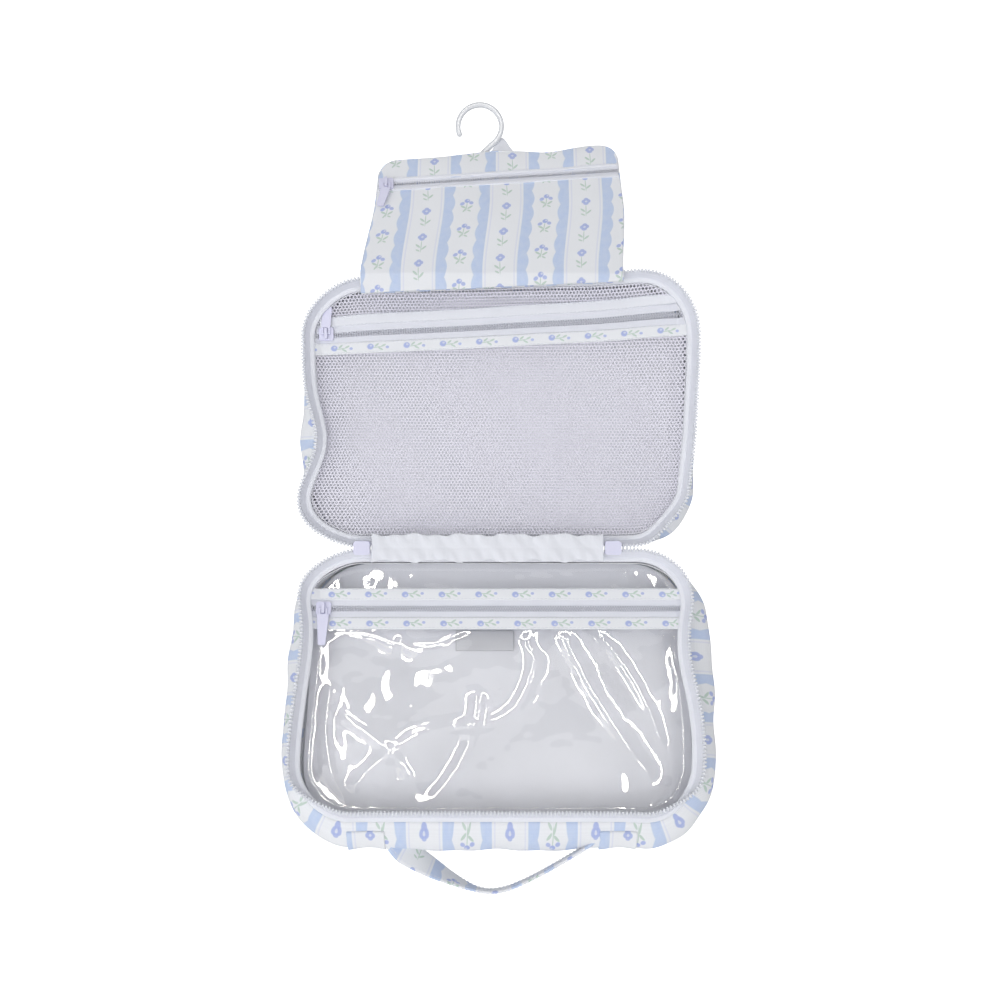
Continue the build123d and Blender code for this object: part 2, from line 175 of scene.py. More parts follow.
def printedCotton():
    # plain-woven cotton poplin, rotary printed: matt, with a faint sheen at the folds
    material, tree, shader = newMaterial("printedCotton", Roughness=0.82, Sheen_Weight=0.25,
                                         Sheen_Roughness=0.5, Specular_IOR_Level=0.25)
    coords = clothCoords(tree)
    parts = addNode(tree, "SeparateXYZ", {0: coords})
    across, up = parts.outputs[0], parts.outputs[1]
    halfPeriod = stripePrint["period"] / 2
    wide = addNode(tree, "Math", {0: across, 1: halfPeriod, 2: -halfPeriod}, operation="WRAP").outputs[0]
    away = addNode(tree, "Math", {0: wide}, operation="ABSOLUTE").outputs[0]
    swing = addNode(tree, "Math", {0: up, 1: math.pi / stripePrint["scallopPitch"]}, operation="MULTIPLY")
    wave = addNode(tree, "Math", {0: swing.outputs[0]}, operation="SINE")
    lobe = addNode(tree, "Math", {0: wave.outputs[0]}, operation="ABSOLUTE").outputs[0]
    edge = addNode(tree, "Math", {0: lobe, 1: -stripePrint["scallopDeep"], 2: stripePrint["scallopAt"]},
                   operation="MULTIPLY_ADD").outputs[0]
    past = addNode(tree, "Math", {0: away, 1: edge}, operation="SUBTRACT").outputs[0]
    inside = addNode(tree, "MapRange", {"Value": past, "From Min": -0.3, "From Max": 0.3}).outputs[0]
    before = addNode(tree, "MapRange", {"Value": away, "From Min": stripePrint["straightAt"] + 0.3,
                                        "From Max": stripePrint["straightAt"] - 0.3}).outputs[0]
    stripe = addNode(tree, "Math", {0: inside, 1: before}, operation="MULTIPLY").outputs[0]
    wash = addNode(tree, "TexNoise", {"Vector": coords, "Scale": 0.22, "Detail": 4.0, "Roughness": 0.6})
    ink = addNode(tree, "MapRange", {"Value": wash.outputs[0], "From Min": 0.3, "From Max": 0.7,
                                     "To Min": 0.78}).outputs[0]
    amount = addNode(tree, "Math", {0: stripe, 1: ink}, operation="MULTIPLY").outputs[0]
    striped = addNode(tree, "Mix", {0: amount, 6: linear(colours["ground"]), 7: linear(colours["stripe"])},
                      data_type="RGBA").outputs[2]
    fine = addNode(tree, "Math", {0: away, 1: stripePrint["straightAt"] + 1.9}, operation="SUBTRACT")
    fineAway = addNode(tree, "Math", {0: fine.outputs[0]}, operation="ABSOLUTE").outputs[0]
    fineLine = addNode(tree, "MapRange", {"Value": fineAway, "From Min": 0.75, "From Max": 0.25,
                                          "To Max": 0.35}).outputs[0]
    colour = addNode(tree, "Mix", {0: fineLine, 6: striped, 7: linear(colours["line"])},
                     data_type="RGBA").outputs[2]
    rows = stripePrint["rowPitch"]
    for shift, row, motif in ((0.0, stripePrint["sprigRow"], sprig),
                              (halfPeriod, stripePrint["flowerRow"], roundFlower)):
        moved = addNode(tree, "Math", {0: across, 1: shift}, operation="SUBTRACT").outputs[0]
        cellX = addNode(tree, "Math", {0: moved, 1: halfPeriod, 2: -halfPeriod}, operation="WRAP").outputs[0]
        raised = addNode(tree, "Math", {0: up, 1: row}, operation="SUBTRACT").outputs[0]
        cellY = addNode(tree, "Math", {0: raised, 1: rows / 2, 2: -rows / 2}, operation="WRAP").outputs[0]
        cell = addNode(tree, "CombineXYZ", {0: cellX, 1: cellY}).outputs[0]
        colour = addMotif(tree, colour, cell, motif)
    threads = addWeave(tree, shader, coords, 0.9, 0.12)
    # painted shade in the thread hollows
    paintHollowShade(tree, shader, colour, threads, 0.96)
    return material


def floralBinding():
    # bias binding in the same cotton, printed with a row of small flowers
    material, tree, shader = newMaterial("floralBiasBinding", Roughness=0.8, Sheen_Weight=0.2,
                                         Specular_IOR_Level=0.25)
    coords = clothCoords(tree)
    parts = addNode(tree, "SeparateXYZ", {0: coords})
    cellX = addNode(tree, "Math", {0: parts.outputs[0], 1: 12.5, 2: -12.5}, operation="WRAP").outputs[0]
    cell = addNode(tree, "CombineXYZ", {0: cellX, 1: parts.outputs[1]}).outputs[0]
    colour = addMotif(tree, linear(colours["ground"]), cell, bindingSprig)
    threads = addWeave(tree, shader, coords, 0.8, 0.1)
    # painted shade in the thread hollows
    paintHollowShade(tree, shader, colour, threads, 0.96)
    return material


def wovenWhite(name, ink, pitch, depth, roughness, sheen):
    # plain white cloth: painted shade darkens the colour a little with the thread height, and a slow
    # cloudiness varies it
    material, tree, shader = newMaterial(name, Roughness=roughness, Sheen_Weight=sheen,
                                         Specular_IOR_Level=0.3)
    coords = clothCoords(tree)
    threads = addWeave(tree, shader, coords, pitch, depth)
    cloud = addNode(tree, "TexNoise", {"Vector": coords, "Scale": 0.05, "Detail": 2.0}).outputs[0]
    soft = addNode(tree, "MapRange", {"Value": cloud, "To Min": 0.96, "To Max": 1.02}).outputs[0]
    clouded = addNode(tree, "Mix", {0: 1.0, 6: linear(colours[ink]), 7: soft}, data_type="RGBA",
                      blend_type="MULTIPLY").outputs[2]
    paintHollowShade(tree, shader, clouded, threads, 0.95)
    return material


def mouldedPlastic(name, ink, roughness, grain):
    # moulded or enamelled hard part: a faint orange peel in the gloss, and hardly any colour change beyond a
    # faint painted shade in its hollows
    material, tree, shader = newMaterial(name, Roughness=roughness)
    coords = objectCoords(tree)
    peel = addNode(tree, "TexNoise", {"Vector": coords, "Scale": 1 / grain, "Detail": 3.0}).outputs[0]
    bump = addNode(tree, "Bump", {"Height": peel, "Strength": 0.2, "Distance": 0.00005})
    tree.links.new(bump.outputs[0], shader.inputs["Normal"])
    # painted shade in the hollows of the peel
    paintHollowShade(tree, shader, linear(colours[ink]), peel, 0.98)
    rough = addNode(tree, "MapRange", {"Value": peel, "To Min": roughness * 0.9, "To Max": roughness * 1.15})
    tree.links.new(rough.outputs[0], shader.inputs["Roughness"])
    return material


def clearVinyl():
    # calendered clear PVC: see-through, with a gloss that grows towards grazing angles
    material, tree, shader = newMaterial("clearVinyl")
    tree.nodes.remove(shader)
    coords = objectCoords(tree)
    ripple = addNode(tree, "TexNoise", {"Vector": coords, "Scale": 0.06, "Detail": 1.0}).outputs[0]
    bump = addNode(tree, "Bump", {"Height": ripple, "Strength": 0.5, "Distance": 0.002}).outputs[0]
    clear = addNode(tree, "BsdfTransparent", {"Color": (0.985, 0.988, 0.995, 1)})
    gloss = addNode(tree, "BsdfGlossy", {"Color": (1, 0.99, 0.97, 1), "Roughness": 0.035, "Normal": bump})
    edge = addNode(tree, "Fresnel", {"IOR": 1.5, "Normal": bump})
    mixed = addNode(tree, "MixShader", {0: edge.outputs[0], 1: clear.outputs[0], 2: gloss.outputs[0]})
    tree.links.new(mixed.outputs[0], tree.nodes["Material Output"].inputs[0])
    return material


cotton = printedCotton()
binding = floralBinding()
lining = wovenWhite("nylonLining", "lining", 0.7, 0.05, 0.5, 0.1)  # smooth taffeta, a soft shine
tapeCloth = wovenWhite("wovenZipTape", "tape", 1.0, 0.15, 0.75, 0.15)  # dense polyester tape
plainCloth = wovenWhite("whiteCottonBinding", "trim", 0.9, 0.1, 0.8, 0.2)
netCloth = wovenWhite("knittedNet", "net", 0.6, 0.05, 0.6, 0.2)  # warp-knitted polyester net
labelCloth = wovenWhite("satinLabel", "label", 0.5, 0.04, 0.35, 0.1)  # satin weave, blank
threadCloth = wovenWhite("polyesterThread", "tape", 0.5, 0.1, 0.6, 0.1)
toothResin = mouldedPlastic("mouldedToothResin", "tooth", 0.35, 1.2)  # acetal, soft gloss
coilNylon = mouldedPlastic("nylonCoil", "coil", 0.4, 0.8)  # drawn nylon monofilament
enamelZinc = mouldedPlastic("enamelledZinc", "enamel", 0.62, 2.0)  # die-cast, sprayed and baked
hookPlastic = mouldedPlastic("mouldedWhitePolypropylene", "plastic", 0.32, 2.5)
vinyl = clearVinyl()
print("materials made:", len(bpy.data.materials))


def gridFaces(rows, cols, closedRows, closedCols):
    # quads between neighbouring grid points, joined round where the grid is closed
    index = np.arange(rows * cols).reshape(rows, cols)
    a = index if closedRows else index[:-1]
    b = np.roll(index, -1, 0) if closedRows else index[1:]
    if closedCols:
        return np.stack([a, np.roll(a, -1, 1), np.roll(b, -1, 1), b], -1).reshape(-1, 4)
    return np.stack([a[:, :-1], a[:, 1:], b[:, 1:], b[:, :-1]], -1).reshape(-1, 4)


def addMesh(name, points, faces, uv, material, smooth=True):
    mesh = bpy.data.meshes.new(name)
    mesh.from_pydata((points * 0.001).tolist(), [], faces.tolist())
    layer = mesh.uv_layers.new(name="cloth")
    loops = np.zeros(len(mesh.loops), int)
    mesh.loops.foreach_get("vertex_index", loops)
    layer.data.foreach_set("uv", (uv * 0.001)[loops].astype(np.float32).ravel())
    mesh.polygons.foreach_set("use_smooth", np.full(len(mesh.polygons), smooth))
    mesh.materials.append(material)
    mesh.update()
    made = bpy.data.objects.new(name, mesh)
    bpy.context.scene.collection.objects.link(made)
    return made


def addSurface(name, points, uv, material, closedRows=False, closedCols=False, thick=0.0, flip=False):
    # a grid of points (rows, columns, xyz) as one sheet, given a thickness by Solidify where asked
    rows, cols = points.shape[:2]
    faces = gridFaces(rows, cols, closedRows, closedCols)
    faces = faces[:, ::-1] if flip else faces
    made = addMesh(name, points.reshape(-1, 3), faces, uv.reshape(-1, 2), material)
    if thick:
        shell = made.modifiers.new("thickness", "SOLIDIFY")
        shell.thickness = thick * 0.001
        shell.offset = 0
    return made


def alongPath(path, closed=False):
    # tangent of each point and the distance run so far
    ahead = np.roll(path, -1, 0) if closed else np.vstack([path[1:], 2 * path[-1] - path[-2]])
    behind = np.roll(path, 1, 0) if closed else np.vstack([2 * path[0] - path[1], path[:-1]])
    tangent = ahead - behind
    tangent /= np.linalg.norm(tangent, axis=1)[:, None]
    steps = np.linalg.norm(np.diff(path, axis=0), axis=1)
    return tangent, np.concatenate([[0], np.cumsum(steps)])


def addSweep(name, path, side, profile, material, closed=False, smooth=True, uvOrigin=0.0):
    # a closed profile (across, out) carried along a path: across follows side, out is tangent x side
    tangent, run = alongPath(path, closed)
    side = side - (side * tangent).sum(1)[:, None] * tangent
    side /= np.linalg.norm(side, axis=1)[:, None]
    out = np.cross(tangent, side)
    shape = np.asarray(profile, float)
    shape = np.broadcast_to(shape, (len(path),) + shape.shape[-2:]) if shape.ndim == 2 else shape
    points = path[:, None] + side[:, None] * shape[..., :1] + out[:, None] * shape[..., 1:]
    uv = np.stack([np.broadcast_to(run[:, None] + uvOrigin, shape.shape[:2]), shape[..., 0]], -1)
    if not closed:
        ends = [np.repeat(points[k].mean(0)[None], points.shape[1], 0)[None] for k in (0, -1)]
        points = np.concatenate([ends[0], points, ends[1]])
        uv = np.concatenate([uv[:1], uv, uv[-1:]])
    made = addSurface(name, points, uv, material, closedRows=closed, closedCols=True)
    weld = made.modifiers.new("ends", "WELD")
    weld.merge_threshold = 0.00001
    return made


def roundBar(width, height, corner=0.5, count=16):
    # a flat bar with rounded edges: a superellipse |x/a|^n + |y/b|^n = 1, squarer as corner falls
    angle = np.linspace(0, 2 * np.pi, count, endpoint=False)
    c, s = np.cos(angle), np.sin(angle)
    flatX, flatY = (np.sign(part) * np.abs(part) ** corner for part in (c, s))
    return np.stack([width / 2 * flatX, height / 2 * flatY], -1)


def addRepeats(name, template, faces, origins, axes, material, smooth=True):
    # copies of one small shape, each at its origin, along its own three axes
    points = origins[:, None] + np.einsum("vk,nkc->nvc", template, axes)
    count = len(template)
    allFaces = (faces[None] + (np.arange(len(origins)) * count)[:, None, None]).reshape(-1, faces.shape[1])
    uv = np.tile(template[:, :2], (len(origins), 1))
    return addMesh(name, points.reshape(-1, 3), allFaces, uv, material, smooth)


def capsule(long, wide, high, rings=5, sides=6):
    # a short rounded bar: rings of a circle whose size follows a half ellipse along its length
    turn = np.linspace(0, np.pi, rings)
    around = np.linspace(0, 2 * np.pi, sides, endpoint=False)
    x = np.repeat(-np.cos(turn) * long / 2, sides)
    size = np.repeat(np.maximum(np.sin(turn), 0.02) ** 0.5, sides)
    y = size * np.tile(np.cos(around), rings) * wide / 2
    z = size * np.tile(np.sin(around), rings) * high / 2
    return np.stack([x, y, z], -1), gridFaces(rings, sides, False, True)[:, ::-1]


def smooth(x):
    x = np.clip(x, 0, 1)
    return x * x * (3 - 2 * x)


def layOut(across, along):
    # two measures in millimetres, spread over one grid: the cloth's flat coordinates
    return np.stack(np.broadcast_arrays(across, along), -1)


def spreadAlong(path, side, pitch):
    # evenly spaced places on a path, each with its direction and its side, made square to one another
    tangent, run = alongPath(path)
    count = int(run[-1] / pitch)
    at = (np.arange(count) + 0.5) * run[-1] / count
    place, direction, beside = (np.stack([np.interp(at, run, rows[:, k]) for k in range(3)], -1)
                                for rows in (path, tangent, side))
    direction /= np.linalg.norm(direction, axis=1)[:, None]
    beside -= (beside * direction).sum(1)[:, None] * direction
    beside /= np.linalg.norm(beside, axis=1)[:, None]
    return place, direction, beside


stitch = dict(pitch=2.7, long=1.9, wide=0.45, high=0.4)


def addStitches(name, path, side, lift=0.0):
    # a row of thread stitches pressed into the cloth along a path
    places, direction, beside = spreadAlong(path, side, stitch["pitch"])
    axes = np.stack([direction, beside, np.cross(direction, beside)], 1)
    template, faces = capsule(stitch["long"], stitch["wide"], stitch["high"])
    return addRepeats(name, template, faces, places + axes[:, 2] * lift, axes, threadCloth)


def finish(piece, body, slotName, *nodes):
    if isinstance(body, str):
        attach(piece, body)
    else:
        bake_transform(piece)
    if nodes:
        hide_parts(*nodes)
    return piece


# A half's own frame: u across, s away from the spine, d back from the rim plane.
# Each dent pulls the cloth near (u, s) by one amount at the rim and by another deep in the wall.
dents = dict(
    upper=[(-133, 73, 19, (9, 0), (-3, 0)), (-133, 36, 17, (-3.5, 0), (-1, 0)),
           (133, 138, 28, (2.5, 0), (1, 0)), (133, 40, 20, (-3.5, 0), (0, 0)),
           (122, 12, 15, (-5, 4), (1, -1)), (-126, 170, 18, (-1, -3), (0, -2)),
           (-128, 14, 14, (-4, 0), (-1, 0)), (120, 176, 30, (0, 6), (0, 4)), (40, 183, 40, (0, 2.5), (0, 1))],
    lower=[(133, 66, 24, (-7.5, 0), (2, 0)), (-133, 140, 30, (-3.5, 0), (-2, 0)),
           (-133, 60, 20, (2, 0), (-1, 0)), (126, 170, 20, (-3, 2), (0, 0)),
           (-126, 172, 20, (1, 1), (0, 0)), (-128, 22, 14, (-4, 0), (0, 0))])
bulges = dict(
    upper=dict(side=2.5, bottom=-1.5, far=1.0),
    lower=dict(side=12.0, bottom=-1.0, far=12.5))
rimLift = dict(upper=0.0, lower=3.0)  # the far rim of the lower half is drawn back towards the spine
tapeLean = dict(upper=0.0, lower=1.75)  # and its zip tape leans in over the cover, in widths of the tape


def outline(inset, count, start=0.0, end=1.0):
    # rounded rectangle as an inner rectangle plus a corner radius turned through the normal's angle
    r, gap = half["corner"], half["spineGap"]
    across = halfWidth - r
    lengths = np.cumsum([0, across, math.pi * r / 2, halfHeight - gap - 2 * r, math.pi * r / 2, 2 * across,
                         math.pi * r / 2, halfHeight - gap - 2 * r, math.pi * r / 2, across])
    run = np.linspace(start, end, count, endpoint=(end - start) < 1) * lengths[-1]
    low, high = gap + r, halfHeight - r
    innerU = np.interp(run, lengths, [0] + [across] * 4 + [-across] * 4 + [0])
    innerS = np.interp(run, lengths, [low] * 3 + [high] * 4 + [low] * 3)
    angle = np.radians(np.interp(run, lengths, [-90, -90, 0, 0, 90, 90, 180, 180, 270, 270]))
    nu, ns = np.cos(angle), np.sin(angle)
    return innerU + (r - inset) * nu, innerS + (r - inset) * ns, nu, ns, run


def insetOf(u, s):
    # distance inside the half's outline
    r = half["corner"]
    middle = (halfHeight + half["spineGap"]) / 2
    qu = np.abs(u) - (halfWidth - r)
    qs = np.abs(s - middle) - ((halfHeight - half["spineGap"]) / 2 - r)
    outside = np.hypot(np.maximum(qu, 0), np.maximum(qs, 0))
    return r - outside - np.minimum(np.maximum(qu, qs), 0)


def soften(name, u, s, d):
    # every piece of a half goes through the same dents, so that they stay together
    deep = smooth((d - 7) / 14)
    du, ds = np.zeros_like(u + s + d), np.zeros_like(u + s + d)
    for atU, atS, reach, rim, wall in dents[name]:
        near = np.exp(-((u - atU) ** 2 + (s - atS) ** 2) / (2 * reach ** 2))
        du += near * (rim[0] * (1 - deep) + wall[0] * deep)
        ds += near * (rim[1] * (1 - deep) + wall[1] * deep)
    ds -= rimLift[name] * (1 - smooth((d - 9) / 16)) * smooth((s - 95) / 88)
    return u + du, s + ds


def place(name, u, s, d):
    # from a half's own frame to the row frame
    u, s, d = np.broadcast_arrays(u, s, d)
    u, s = soften(name, u, s, d)
    if name == "upper":
        return np.stack([bagX + u, spineAt[1] + d, spineAt[2] + s], -1)
    tilt = math.radians(half["lowerTilt"])
    y = spineAt[1] - s * math.sin(tilt) + d * math.cos(tilt)
    z = spineAt[2] - s * math.cos(tilt) - d * math.sin(tilt)
    return np.stack([bagX + u, y, z], -1)


def wallBulge(name, nu, ns, u, s, d):
    # how far the soft wall stands out past the outline: most at mid depth, by side
    amount = bulges[name]
    sidewise = np.where(nu > 0, 0.85, 0.75)  # fuller on the right
    swell = np.sin(np.pi * 0.86 * np.clip(s / halfHeight, 0, 1)) ** 0.6
    reach = sidewise * np.abs(nu) ** 2 * amount["side"] * swell
    far = np.clip(ns, 0, 1) ** 2 * amount["far"]
    if name == "lower":  # the wall stays flat where the handle is sewn on
        for seam in (-86, 78):
            far = far * (1 - 0.25 * np.exp(-((u - seam) / 17) ** 2))
    near = np.clip(-ns, 0, 1) ** 2 * amount["bottom"]
    through = np.clip((d - 8) / (halfDepth - 8), 0, 1)
    ripple = 0.5 * np.sin(u * 0.11 + s * 0.13) + 0.35 * np.sin(u * 0.23 - s * 0.19 + d * 0.1)
    return (reach + far + near) * np.sin(np.pi * through ** 0.85) + ripple * np.sin(np.pi * through)


def buildWalls(name):
    body, count = f"{name}_half", 560
    u, s, nu, ns, run = outline(0, count)
    # printed gusset: from the rim seam outwards, then back to the panel's edge
    stations = np.concatenate([np.linspace(8.2, 11, 4), np.linspace(12.5, 36.5, 20), [37.6, 38.0]])
    d = stations[None] + np.zeros((count, 1))
    tuck = (half["seam"] - 1.4) * (1 - smooth((d - 8.2) / 3.5)) + 1.6 * smooth((d - 36) / 2)
    grow = wallBulge(name, nu[:, None], ns[:, None], u[:, None], s[:, None], d) - tuck
    points = place(name, u[:, None] + nu[:, None] * grow, s[:, None] + ns[:, None] * grow, d)
    uv = layOut(run[:, None] + 6, d)
    gusset = addSurface(f"{name}PrintedGusset", points, uv, cotton, closedRows=True, thick=0.9,
                        flip=name == "lower")
    finish(gusset, body, "printed_fabric", f"{name}_gusset")

    # wall lining inside it, loose, with shallow gathers
    stations = np.concatenate([[9.6, 10.4], np.linspace(12, 33.4, 16)])
    d = stations[None] + np.zeros((count, 1))
    gather = 0.7 * np.sin(run[:, None] * 0.21) * np.sin(np.pi * (d - 9) / 25)
    tuck = (half["seam"] + 0.4) * (1 - smooth((d - 9.6) / 5)) + 2.4
    grow = wallBulge(name, nu[:, None], ns[:, None], u[:, None], s[:, None], d) * 0.9 - tuck + gather
    points = place(name, u[:, None] + nu[:, None] * grow, s[:, None] + ns[:, None] * grow, d)
    uv = layOut(run[:, None], d)
    inside = addSurface(f"{name}WallLining", points, uv, lining, closedRows=True, thick=0.4,
                        flip=name == "upper")
    finish(inside, body, "lining_fabric", f"{name}_lining_wall")

    # rolled white binding over the seam between tape, gusset and cover
    u, s, nu, ns, run = outline(half["seam"], 620)
    path = place(name, u, s, np.full_like(u, 8.4))
    outer = place(name, u + nu, s + ns, np.full_like(u, 8.4)) - path
    roll = addSweep(f"{name}RimBinding", path, outer, roundBar(4.4, 2.6, 0.8), plainCloth, closed=True)
    finish(roll, body, "white_fabric", f"{name}_rim_binding")

    # padded panel: crowned, soft edged, quilted onto its foam
    rows, cols = 90, 130
    reach = np.linspace(0, 1, rows)[:, None]
    around = outline(1.4, cols * 2)
    mid = (halfHeight + half["spineGap"]) / 2
    eased = 1 - (1 - reach) ** 1.6
    gu = around[0][None] * eased
    gs = mid + (around[1][None] - mid) * eased
    crown = 3.4 * (1 - eased ** 4) + 0.5 * np.sin(gu * 0.05) * np.sin(gs * 0.06) * (1 - eased ** 2)
    points = place(name, gu, gs, halfDepth - 0.7 + crown)
    uv = layOut(gu, gs)
    panel = addSurface(f"{name}BackPanel", points, uv, cotton, closedCols=True, thick=1.2,
                       flip=name == "lower")
    finish(panel, body, "printed_fabric", f"{name}_back_panel", f"{name}_back_foam")

    # back lining, with the soft folds that show through the cover
    crease = 0.9 * np.sin(gu * 0.045 + gs * 0.03) + 0.6 * np.sin(gu * 0.02 - gs * 0.07)
    crease += 0.4 * np.sin(gu * 0.09 + gs * 0.05)
    points = place(name, gu * 0.985, mid + (gs - mid) * 0.98, 33.0 - crease * (1 - eased ** 6))
    cloth = addSurface(f"{name}BackLining", points, uv, lining, closedCols=True, thick=0.4,
                       flip=name == "upper")
    finish(cloth, body, "lining_fabric", f"{name}_lining_back")

    # piping along the panel's edge
    u, s, nu, ns, run = outline(0.2, 520)
    path = place(name, u, s, np.full_like(u, halfDepth - 0.3))
    outer = place(name, u + nu, s + ns, np.full_like(u, halfDepth - 0.3)) - path
    piping = addSweep(f"{name}BackPiping", path, outer, roundBar(3.0, 3.0, 1.0, 10), cotton, closed=True)
    finish(piping, body, "printed_fabric")


def toothTemplate():
    # one moulded tooth: a leg that clasps the tape and a rounded head
    stations = [(-2.3, 0.75, 0.75), (-1.0, 0.85, 0.95), (0.2, 0.8, 0.9),
                (0.9, 1.05, 1.0), (1.7, 1.0, 0.9), (2.2, 0.6, 0.55)]
    ring = roundBar(2, 2, 0.7, 8)
    points = [np.column_stack([np.full(8, x), ring[:, 0] * wide, ring[:, 1] * high])
              for x, wide, high in stations]
    first = np.repeat([[stations[0][0], 0, 0]], 8, 0)
    last = np.repeat([[stations[-1][0] + 0.25, 0, 0]], 8, 0)
    grid = np.array([first] + points + [last])
    return grid.reshape(-1, 3), gridFaces(len(grid), 8, False, True)


mainZip = dict(gapLeft=87.0, gapRight=71.0, pitch=2.4, toothScale=np.array([0.6, 0.8, 0.75]))


def leanIn(name, inset, ns):
    # along the far rim the tape turns over, so that the teeth stand further in than the seam
    share = tapeLean[name] * smooth(1.4 * ns - 0.3)
    return inset + share * (half["seam"] - inset)


def buildMainZip(name):
    body = f"{name}_half"
    run = outline(0, 900)[4]
    total = run[-1] + run[1] - run[0]
    keepFrom, keepTo = mainZip["gapRight"] / total, 1 - mainZip["gapLeft"] / total
    # tape, slanting out from the seam to the teeth
    u, s, nu, ns, run = outline(0, 700, keepFrom, keepTo)
    inset = leanIn(name, np.linspace(half["seam"], -0.2, 7)[None], ns[:, None])
    depth = np.array([8.0, 7.4, 6.2, 4.9, 3.6, 2.4, 1.3])
    ripple = 0.25 * np.sin(run * 0.33)[:, None] * np.linspace(0, 1, 7)[None]
    points = place(name, u[:, None] - nu[:, None] * inset, s[:, None] - ns[:, None] * inset,
                   depth[None] + ripple)
    uv = layOut(run[:, None], inset)
    tape = addSurface(f"{name}ZipTape", points, uv, tapeCloth, thick=0.5)
    finish(tape, body, "white_fabric", f"{name}_zip_tape")
    near, beyond = (leanIn(name, half["seam"] - far, ns) for far in (1.6, 2.6))
    seam = place(name, u - nu * near, s - ns * near, 5.6 + 0 * u)
    side = place(name, u - nu * beyond, s - ns * beyond, 4.3 + 0 * u) - seam
    row = addStitches(f"{name}TapeStitches", seam, side, lift=0.4 if name == "upper" else -0.4)
    finish(row, body, "white_fabric")

    # teeth, moulded along the tape's bead
    bead, past = (leanIn(name, far, ns) for far in (-0.1, -1.0))
    beadPath = place(name, u - nu * bead, s - ns * bead, 1.25 + 0 * u)
    outer = place(name, u - nu * past, s - ns * past, 1.25 + 0 * u) - beadPath
    places, direction, out = spreadAlong(beadPath, outer, mainZip["pitch"])
    template, faces = toothTemplate()
    axes = np.stack([out, direction, np.cross(out, direction)], 1)
    teeth = addRepeats(f"{name}ZipTeeth", template * mainZip["toothScale"], faces, places, axes, toothResin)
    finish(teeth, body, "moulded_teeth", f"{name}_zip_teeth")


# each cover has a zip across, bindings beside it, and net or film in two fields
covers = dict(
    mesh=dict(half="upper", zip="meshZip", slope=half["meshSlope"], plain=True),
    window=dict(half="lower", zip="windowZip", slope=0.0, plain=False))


def zipLine(cover, u):
    settings = covers[cover]
    return half[settings["zip"]] + (u - half["sliderU"]) * math.tan(math.radians(settings["slope"]))


def coverDepth(cover, u, s):
    # the cover leaves the rim seam at 9.4 mm deep and lies level with the zip further in
    edge = insetOf(u, s)
    level = half["zipDepth"] + 0.5
    start = 9.6
    lie = start + (level - start) * smooth((edge - half["seam"]) / 8)
    away = np.abs(s - zipLine(cover, u)) - 12
    calm = smooth(away / 12) * smooth((edge - 9) / 20)
    if cover == "mesh":
        sag = 1.6 * np.sin(u * 0.018 + 0.6) * np.sin(s * 0.021) + 0.7 * np.sin(u * 0.05 + s * 0.035)
        return lie + calm * sag
    return lie + calm * filmWaves(u, s)


# creases in the film: start, bend and end of each as (u, s), then its width and height
film = dict(swell=1.3, ridges=[
    ((-118, 60), (-96, 52), (-72, 66), 5.0, 1.6), ((-112, 95), (-118, 135), (-98, 168), 5.0, 1.3),
    ((-92, 158), (-60, 118), (-22, 118), 8.0, 1.9), ((-22, 118), (16, 120), (24, 74), 7.0, 1.9),
    ((-66, 62), (-46, 78), (-14, 50), 7.0, 1.5), ((24, 74), (10, 52), (34, 50), 6.0, 1.3),
    ((44, 58), (60, 100), (96, 148), 8.0, 2.0), ((60, 52), (92, 78), (106, 128), 6.0, 1.5),
    ((-14, 100), (-16, 140), (-44, 168), 7.0, 1.7), ((-100, 112), (-74, 128), (-60, 150), 6.0, 1.2)])


def filmWaves(u, s):
    # slow swells, and raised creases: each ridge is a bell of the distance to a bent line
    field = film["swell"] * np.sin(u * 0.043 + s * 0.02) * np.sin(s * 0.052 + 0.7)
    for a, b, c, wide, high in film["ridges"]:
        t = np.linspace(0, 1, 110)
        lineU = (1 - t) ** 2 * a[0] + 2 * t * (1 - t) * b[0] + t * t * c[0]
        lineS = (1 - t) ** 2 * a[1] + 2 * t * (1 - t) * b[1] + t * t * c[1]
        away = np.full(np.shape(u + s), 1e9)
        for pu, ps in zip(lineU, lineS):
            away = np.minimum(away, (u - pu) ** 2 + (s - ps) ** 2)
        field = field - high * np.exp(-away / (2 * (wide / 2) ** 2))
    return field


def edgeSpan(s):
    # how far the cover's edge stands to each side at distance s, along the seam
    inset = half["seam"] + 0.6
    r = half["corner"] - inset
    low, high = half["spineGap"] + inset + r, halfHeight - inset - r
    past = np.maximum(np.maximum(low - s, s - high), 0)
    return halfWidth - inset - r + np.sqrt(np.maximum(r * r - past * past, 0))


def bandPath(cover, offset, count=220):
    # a line beside the zip, from edge to edge
    middle = half[covers[cover]["zip"]] + offset
    reach = edgeSpan(np.array([zipLine(cover, 0.0) + offset]))[0]
    u = np.linspace(-reach, reach, count)
    return u, zipLine(cover, u) + offset


